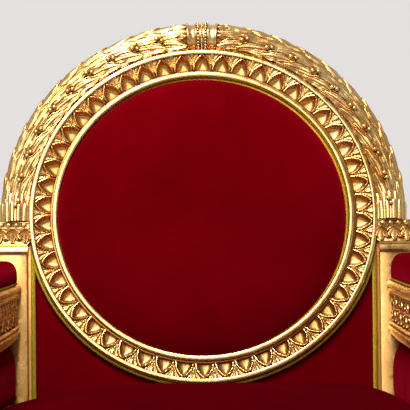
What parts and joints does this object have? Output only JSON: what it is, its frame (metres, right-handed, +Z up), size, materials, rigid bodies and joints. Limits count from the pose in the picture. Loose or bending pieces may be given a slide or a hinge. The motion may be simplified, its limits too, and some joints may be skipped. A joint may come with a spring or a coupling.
{
  "type": "throne",
  "caption": "Round-backed carved and gilded armchair of state with closed arms, laurel arch, scooped ring frame and crimson velvet upholstery.",
  "frame": {"origin": "middle of the chair's footprint box, on the floor", "axes": "+Z up, the sitter faces -Y, +X to the right of somebody looking at the chair's front"},
  "size_m": [0.852, 0.8048, 1.1905],
  "materials": {
    "gilded_wood": "carved wood, water-gilded, burnished highlights and dark recesses, lightly worn",
    "crimson_velvet": "short-pile crimson velvet",
    "gold_gimp": "woven metal-thread gimp with looped edges",
    "seat_board": "plain softwood board"
  },
  "bodies": {
    "root": {"laurel_arch": "gilded_wood", "back_ring": "gilded_wood", "back_pad": "crimson_velvet", "ring_inner_gimp": "gold_gimp", "lower_back_panel": "crimson_velvet", "ring_outer_gimp": "gold_gimp", "right_stile_gimp": "gold_gimp", "left_stile_gimp": "gold_gimp", "outer_back_panel": "crimson_velvet", "right_stile": "gilded_wood", "left_stile": "gilded_wood", "right_arm": "gilded_wood", "left_arm": "gilded_wood", "right_arm_pad": "crimson_velvet", "left_arm_pad": "crimson_velvet", "right_side_panel": "crimson_velvet", "left_side_panel": "crimson_velvet", "right_front_leg": "gilded_wood", "left_front_leg": "gilded_wood", "seat_front_rail": "gilded_wood", "right_seat_rail": "gilded_wood", "left_seat_rail": "gilded_wood", "seat_back_rail": "gilded_wood", "seat_deck": "seat_board", "seat_cushion": "crimson_velvet"}
  },
  "joints": []
}
